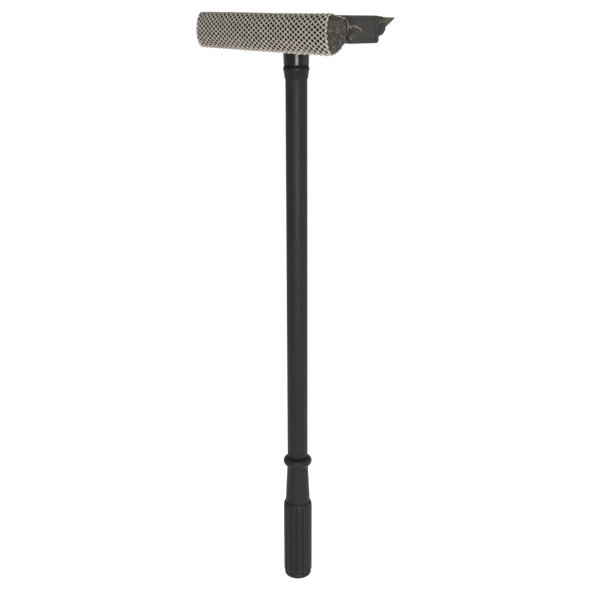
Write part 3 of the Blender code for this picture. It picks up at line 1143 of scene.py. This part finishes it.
@dataclass
class Handle:
    """The tube, its collar, the ribbed grip and the grip's end cap.

    Args:
        ribs: how many ribs the barrel has.
        groove: how deep the grooves between them are.
        groove_share: how much of a rib's pitch its groove takes.
        bead_half: half of the bead's height.
        bead_radius: the bead's radius.
        barrel_top: Z of the barrel's shoulder.
    """

    ribs: int = 14
    groove: float = 0.9 * MM
    groove_share: float = 0.36
    bead_half: float = 4.2 * MM
    bead_radius: float = 13.4 * MM
    barrel_top: float = 79.4 * MM

    def tube_profile(self) -> list[Point2]:
        """The long drawn tube, with its two edges broken."""
        low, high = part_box("handle_tube")
        radius, wall, edge = high.x, 2.0 * MM, 0.35 * MM
        profile = [(radius - wall, low.z), *arc((radius - edge, low.z + edge), edge, -90, 0, 3)]
        profile += [*arc((radius - edge, high.z - edge), edge, 0, 90, 3), (radius - wall, high.z)]
        return profile

    def collar_profile(self) -> list[Point2]:
        """The tapered collar, with a rounded lip under the socket."""
        low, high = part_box("socket_collar")
        lip, bore, start = high.x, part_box("handle_tube")[1].x + 0.15 * MM, low.z + 7.6 * MM
        profile = [(bore, low.z), (bore + 0.25 * MM, low.z), (bore + 0.42 * MM, low.z + 0.4 * MM)]
        profile += [(lip - 0.45 * MM, start - 0.7 * MM), *arc((lip - 0.5 * MM, start), 0.5 * MM, -60, 0, 4)]
        profile += [*arc((lip - 0.6 * MM, start + 1.7 * MM), 0.6 * MM, 0, 60, 4)]
        profile += [(lip - 0.62 * MM, high.z - 0.35 * MM), (lip - 0.75 * MM, high.z), (bore, high.z)]
        return profile

    def grip_profile(self) -> list[tuple[float, float, float]]:
        """The grip's rings from its spigot down to the barrel's end, as (radius, z, groove's share)."""
        low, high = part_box("grip")
        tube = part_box("handle_tube")
        bead_top, spigot = tube[0].z - 0.3 * MM, tube[1].x - 2.3 * MM
        centre = bead_top - self.bead_half
        neck_top, neck_low, barrel = 9.8 * MM, 11.6 * MM, high.x
        rings = [(0.4 * MM, high.z, 0), (spigot - 0.8 * MM, high.z, 0), (spigot, high.z - 1.5 * MM, 0)]
        rings += [(spigot, bead_top, 0), (tube[1].x - 0.2 * MM, bead_top, 0)]
        for step in range(19):
            angle = math.pi / 2 - math.pi * (step + 1) / 20
            base = tube[1].x if angle > 0 else neck_top
            swell = (self.bead_radius - base) * math.cos(angle)
            rings.append((base + swell, centre + self.bead_half * math.sin(angle), 0))
        neck = centre - self.bead_half
        rings += [(neck_top + 0.12 * MM, neck - 0.25 * MM, 0), (neck_top + 0.1 * MM, neck - 1.2 * MM, 0)]
        for step in range(1, 13):
            share = step / 13
            z = neck + (self.barrel_top - neck) * share
            rings.append((neck_top + (neck_low - neck_top) * share, z, 0))
        for step in range(9):
            share = step / 8
            rise = math.sin(share * math.pi / 2) ** 0.8
            radius = neck_low + (barrel - neck_low) * rise
            z = self.barrel_top - 5.4 * MM * (1 - math.cos(share * math.pi / 2))
            rings.append((radius, z, share * 1.25))
        rings += [(barrel, self.barrel_top - 7.5 * MM, 1.0)]
        rings += [(barrel, self.barrel_top - 7.5 * MM - i * 6 * MM, 1.0) for i in range(1, 11)]
        bore = barrel - 3.3 * MM
        rings += [(barrel, low.z + 0.5 * MM, 1.0), (barrel - 0.4 * MM, low.z, 0.8), (bore, low.z, 0)]
        rings += [(bore, low.z + 10 * MM, 0), (0.4 * MM, low.z + 10 * MM, 0)]
        return rings

    def grip_mesh(self) -> bmesh.types.BMesh:
        """The bead, the neck and the ribbed barrel as one moulding, with rounded grooves."""
        rings = self.grip_profile()

        def place(turn: float, ring: int) -> Vector:
            """A point of the ring, sunk into the groove between two ribs."""
            radius, z, share = rings[ring]
            along = (turn * self.ribs) % 1.0
            inside = max(0.0, 1 - abs(along - 0.5) / (self.groove_share / 2))
            depth = self.groove * share * min(1.0, inside * 2.2) ** 1.4
            angle = turn * math.tau
            size = radius - depth
            return Vector((size * math.cos(angle), size * math.sin(angle), z))

        return shaped_tube(self.ribs * 16, len(rings), place)

    def cap_profile(self) -> list[Point2]:
        """The end cap: a flat end, a round edge and its plug inside the barrel."""
        low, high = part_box("grip_end_cap")
        radius, curve = high.x, 4.5 * MM
        edge = arc((radius - curve, low.z + curve), curve, -90, 0, 14)
        profile = [(0.0, low.z), *((r, low.z + (z - low.z) * 0.8) for r, z in edge)]
        plug = radius - 2.9 * MM
        rim = low.z + 6.4 * MM
        profile += [(radius, low.z + 6.1 * MM), (radius - 0.3 * MM, rim), (plug, rim)]
        profile += [(plug, high.z - 0.8 * MM), (plug - 0.8 * MM, high.z), (0.0, high.z)]
        return profile

    def build(self, collar: Plastic, tube: Plastic, grip: Plastic) -> None:
        """Builds and dresses the handle's four pieces."""
        grip_material = grip.material()
        for name, finish, slot, node, bm in (
            ("tube", tube.material(), Slot.TUBE, "handle_tube", turned(self.tube_profile())),
            ("collar", collar.material(), Slot.HEAD, "socket_collar", turned(self.collar_profile())),
            ("grip_moulding", grip_material, Slot.GRIP, "grip", self.grip_mesh()),
            ("end_cap", grip_material, Slot.GRIP, "grip_end_cap", turned(self.cap_profile())),
        ):
            Piece(name, finish, Body.HANDLE, slot, (node,), 50.0).place(bm)


# --- Studio ---


@dataclass
class Studio:
    """The camera, the lights, the pale floor and the world.

    Args:
        turn: the camera's turn round the handle, in degrees; at 0 it looks along -X.
        pitch: how far it looks down, in degrees.
        roll: its roll, in degrees.
        distance: from the handle's axis.
        side: how far it stands to the side of that axis.
        above: how far above the model's top it stands.
        lens: its focal length in millimetres on a 36 mm sensor.
        floor_drop: how far the floor lies under the grip.
        floor_reach: half of the floor's width.
        floor_glow: how brightly the floor is lit from below.
        ceiling: the ceiling's brightness; the walls' is 1.
    """

    turn: float = 32.8
    pitch: float = 15.6
    roll: float = -0.23
    distance: float = 0.926
    side: float = 0.0019
    above: float = 0.0093
    lens: float = 64.37
    floor_drop: float = 0.25
    floor_reach: float = 400.0
    floor_glow: float = 0.62
    ceiling: float = 0.35

    def axes(self) -> tuple[Vector, Vector]:
        """The camera's level forward and right directions."""
        turn = math.radians(self.turn)
        return Vector((-math.cos(turn), math.sin(turn), 0.0)), Vector((math.sin(turn), math.cos(turn), 0.0))

    def build_camera(self) -> None:
        """Stands the camera in front of the tool and makes it the scene's camera."""
        forward, right = self.axes()
        pitch, roll = math.radians(self.pitch), math.radians(self.roll)
        look = (forward * math.cos(pitch) - Vector((0, 0, math.sin(pitch)))).normalized()
        up = right.cross(look)
        across = right * math.cos(roll) + up * math.sin(roll)
        up = across.cross(look)
        data = bpy.data.cameras.new("camera")
        data.sensor_width = 36.0
        data.lens = self.lens
        data.clip_start = 0.01
        camera = bpy.data.objects.new("camera", data)
        place = Vector((0, 0, CAD_BOX[1].z + self.above)) - forward * self.distance - right * self.side
        camera.matrix_world = Matrix.Translation(place) @ Matrix((across, up, -look)).transposed().to_4x4()
        bpy.context.scene.collection.objects.link(camera)
        bpy.context.scene.camera = camera

    def add_panel(self, name: str, place: Vector, aim: Vector, size: Point2, power: float) -> None:
        """A soft rectangular light.

        Args:
            name: its name.
            place: where it stands.
            aim: what it points at.
            size: its width and height.
            power: its power in watts.
        """
        data = bpy.data.lights.new(name, "AREA")
        data.shape = "RECTANGLE"
        data.size, data.size_y = size
        data.energy = power
        light = bpy.data.objects.new(name, data)
        turn = (aim - place).to_track_quat("-Z", "Y").to_matrix().to_4x4()
        light.matrix_world = Matrix.Translation(place) @ turn
        bpy.context.scene.collection.objects.link(light)

    def build_world(self) -> None:
        """White walls all round at eye level under a dimmer ceiling."""
        world = bpy.data.worlds.new("studio")
        world.use_nodes = True
        graph = Graph(world.node_tree)
        way = graph.add("ShaderNodeSeparateXYZ", Vector=graph.add("ShaderNodeTexCoord").outputs["Generated"])
        shade = graph.ramp(way.outputs["Z"], 0.05, 0.6, 1.0, self.ceiling)
        graph.feed(world.node_tree.nodes["Background"].inputs["Color"], shade)
        bpy.context.scene.world = world
        bpy.context.scene.view_settings.view_transform = "Standard"

    def build_lights(self) -> None:
        """A bright panel above the camera and a large soft one on its right."""
        forward, right = self.axes()
        aim = Vector((0, 0, 0.3))
        self.add_panel("key", -forward * 1.15 + right * 0.1 + Vector((0, 0, 0.44)), aim, (0.42, 0.42), 14.5)
        self.add_panel("fill", right * 1.3 - forward * 0.35 + Vector((0, 0, 0.35)), aim, (1.2, 1.4), 5.6)

    def build_floor(self) -> None:
        """A wide pale floor, lit through from below a little, so that it stays even."""
        bm = bmesh.new()
        bmesh.ops.create_grid(bm, x_segments=8, y_segments=8, size=self.floor_reach)
        bmesh.ops.translate(bm, verts=bm.verts, vec=(0, 0, CAD_BOX[0].z - self.floor_drop))
        mesh = bpy.data.meshes.new("floor")
        bm.to_mesh(mesh)
        bm.free()
        paint = Paint("pale_floor", (0.93, 0.93, 0.93), 0.9).material()
        shader = paint.node_tree.nodes["Principled BSDF"]
        shader.inputs["Emission Color"].default_value = (1.0, 1.0, 1.0, 1.0)
        shader.inputs["Emission Strength"].default_value = self.floor_glow
        mesh.materials.append(paint)
        floor = bpy.data.objects.new("floor", mesh)
        bpy.context.scene.collection.objects.link(floor)

    def build(self) -> None:
        """Sets the whole studio up."""
        self.build_camera()
        self.build_world()
        self.build_lights()
        self.build_floor()


def main() -> None:
    """Builds the studio, the pad, the head, the blade and the handle in order."""
    logging.basicConfig(level=logging.INFO, format="%(name)s %(message)s")
    Studio().build()
    head = Plastic("satin_head_plastic", (0.0165, 0.0146, 0.0138), 0.42, scuffs=0.35, specular=0.2)
    # The socket's colour is the head's plastic darkened about ten times over, as painted shade under the
    # head; only its lower roughness is polish.
    smooth, dull, matt = (0.0015, 0.0015, 0.0012), (0.0035, 0.0035, 0.003), (0.0082, 0.0082, 0.0068)
    socket = Plastic("polished_shaded_socket_plastic", smooth, 0.22, 0.12, scuffs=0.15, specular=0.22)
    collar = Plastic("dull_collar_plastic", dull, 0.5, 0.4, scuffs=0.25, specular=0.16)
    black = (0.0076, 0.0064, 0.0061)
    tube = Plastic("drawn_tube_plastic", black, 0.54, 0.3, scuffs=0.35, drawn=0.5, specular=0.17)
    grip = Plastic("matt_grip_plastic", matt, 0.5, 0.7, 0.8, scuffs=0.45, specular=0.16)
    cord = Plastic("hem_cord_plastic", (0.2, 0.18, 0.15), 0.5, 0.4, scuffs=0.2, specular=0.3)
    pad = Pad.from_frame()
    foam = Foam("cut_foam", (0.037, 0.034, 0.029), 0.95, cut=pad.length / 2 - pad.rim)
    pad.build(foam, Yarn("net_yarn", (0.312, 0.275, 0.226), 0.75), cord, head)
    Head().build(head, socket)
    WipingBlade().build(Rubber("blade_rubber", (0.0132, 0.013, 0.0035), 0.5))
    Handle().build(collar, tube, grip)


if __name__ == "__main__":
    main()
